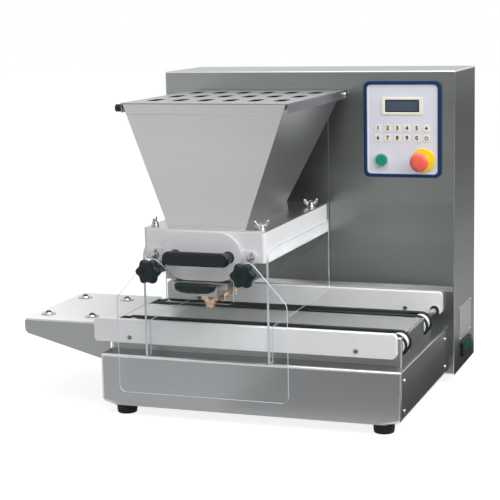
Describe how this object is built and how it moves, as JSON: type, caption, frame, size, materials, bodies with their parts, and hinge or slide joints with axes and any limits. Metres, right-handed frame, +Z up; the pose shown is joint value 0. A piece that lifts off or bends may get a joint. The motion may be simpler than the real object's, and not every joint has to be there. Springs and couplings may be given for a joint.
{
  "type": "cookie depositor",
  "caption": "Table-top cookie depositor: steel hopper over feed rollers and a nozzle die, belt table for trays, clear guards, in-feed shelf and a tower with control panel.",
  "frame": {"origin": "on the floor under the middle of the whole machine", "axes": "+X along the tray travel, -Y towards the operator, +Z up"},
  "size_m": [0.9009, 0.734, 0.72],
  "materials": {
    "steel_case": "brushed",
    "steel_hopper": "satin",
    "steel_plain": "machined",
    "steel_bright": "bright",
    "white_plastic": "satin",
    "black_plastic": "satin",
    "clear": "clear",
    "belt": "matte",
    "foot_rubber": "matte",
    "die_metal": "machined",
    "bronze": "machined",
    "motor_paint": "satin",
    "panel_blue": "satin",
    "panel_pale": "satin",
    "display": "gloss",
    "key": "matte",
    "green": "gloss",
    "red": "gloss",
    "yellow": "gloss",
    "plate": "satin",
    "board": "matte"
  },
  "bodies": {
    "machine": {"base_tub": "steel_case", "tower_shell": "steel_case", "tower_back": "steel_case", "conveyor_bed": "steel_case", "head_plate": "steel_case", "hopper": "steel_hopper", "base_floor": "steel_plain", "shelf_brackets": "steel_plain", "die_rails": "steel_plain", "bearings": "steel_plain", "screws": "steel_bright", "wing_nuts": "steel_bright", "head_studs": "steel_bright", "lid_pivots": "steel_bright", "start_ring": "steel_bright", "ball_cups": "steel_bright", "front_rail": "white_plastic", "rear_rail": "white_plastic", "shelf_plate": "white_plastic", "head_block": "white_plastic", "front_cover": "white_plastic", "cover_handle": "black_plastic", "switch_housing": "black_plastic", "power_inlet": "black_plastic", "guard_front": "clear", "guard_sides": "clear", "belts": "belt", "feet": "foot_rubber", "conveyor_motor": "motor_paint", "feed_motor": "motor_paint", "panel_frame": "panel_blue", "panel_face": "panel_pale", "display": "display", "keypad": "key", "stop_collar": "yellow", "data_plate": "plate", "electronics": "board"},
    "lid": {"lid": "steel_hopper", "lid_knob": "black_plastic"},
    "drive": {"drive_shaft": "steel_bright", "drive_pulleys": "white_plastic"},
    "idler": {"idler_shaft": "steel_bright", "idler_pulleys": "white_plastic"},
    "feed_a": {"feed_roller_a": "steel_plain", "feed_gear_a": "steel_plain"},
    "feed_b": {"feed_roller_b": "steel_plain", "feed_gear_b": "steel_plain"},
    "die": {"die_block": "die_metal", "die_grip": "black_plastic", "nozzles": "bronze"},
    "knob_left": {"star_knob_left": "black_plastic"},
    "knob_right": {"star_knob_right": "black_plastic"},
    "ball_a": {"ball_1": "steel_bright"},
    "ball_b": {"ball_2": "steel_bright"},
    "ball_c": {"ball_3": "steel_bright"},
    "ball_d": {"ball_4": "steel_bright"},
    "stop_button": {"stop_button": "red"},
    "start_button": {"start_button": "green"},
    "main_rocker": {"main_rocker": "green"}
  },
  "joints": [
    {"name": "lid_hinge", "type": "hinge", "parent": "machine", "child": "lid", "pos_m": [0.007, 0.124, 0.6661], "axis": [-1, 0, 0], "range_deg": [0, 92]},
    {"name": "drive_spin", "type": "hinge", "parent": "machine", "child": "drive", "pos_m": [0.4, -0.119, 0.1755], "axis": [0, 1, 0], "continuous": true},
    {"name": "idler_spin", "type": "hinge", "parent": "machine", "child": "idler", "pos_m": [-0.205, -0.119, 0.1755], "axis": [0, 1, 0], "continuous": true},
    {"name": "feed_a_spin", "type": "hinge", "parent": "machine", "child": "feed_a", "pos_m": [-0.031, -0.153, 0.3608], "axis": [0, 1, 0], "continuous": true},
    {"name": "feed_b_spin", "type": "hinge", "parent": "machine", "child": "feed_b", "pos_m": [0.045, -0.153, 0.3608], "axis": [0, 1, 0], "continuous": true},
    {"name": "die_slide", "type": "slide", "parent": "machine", "child": "die", "axis": [0, -1, 0], "range_m": [0, 0.02]},
    {"name": "knob_left_spin", "type": "hinge", "parent": "machine", "child": "knob_left", "pos_m": [-0.098, -0.349, 0.3318], "axis": [0, 1, 0], "continuous": true},
    {"name": "knob_right_spin", "type": "hinge", "parent": "machine", "child": "knob_right", "pos_m": [0.112, -0.349, 0.3318], "axis": [0, 1, 0], "continuous": true},
    {"name": "ball_a_roll", "type": "hinge", "parent": "machine", "child": "ball_a", "pos_m": [-0.418, -0.197, 0.1925], "axis": [0, 1, 0], "continuous": true},
    {"name": "ball_b_roll", "type": "hinge", "parent": "machine", "child": "ball_b", "pos_m": [-0.309, -0.197, 0.1925], "axis": [0, 1, 0], "continuous": true},
    {"name": "ball_c_roll", "type": "hinge", "parent": "machine", "child": "ball_c", "pos_m": [-0.418, -0.007, 0.1925], "axis": [0, 1, 0], "continuous": true},
    {"name": "ball_d_roll", "type": "hinge", "parent": "machine", "child": "ball_d", "pos_m": [-0.309, -0.007, 0.1925], "axis": [0, 1, 0], "continuous": true},
    {"name": "stop_press", "type": "slide", "parent": "machine", "child": "stop_button", "axis": [0, 1, 0], "range_m": [0, 0.004]},
    {"name": "start_press", "type": "slide", "parent": "machine", "child": "start_button", "axis": [0, 1, 0], "range_m": [0, 0.003], "stiffness_N_per_m": 300},
    {"name": "rocker_swing", "type": "hinge", "parent": "machine", "child": "main_rocker", "pos_m": [0.444, 0.256, 0.067], "axis": [0, 0, 1], "range_deg": [0, 12]}
  ],
  "couplings": [
    {"joint": "idler_spin", "follows": "drive_spin", "ratio": 1},
    {"joint": "feed_b_spin", "follows": "feed_a_spin", "ratio": -1}
  ]
}
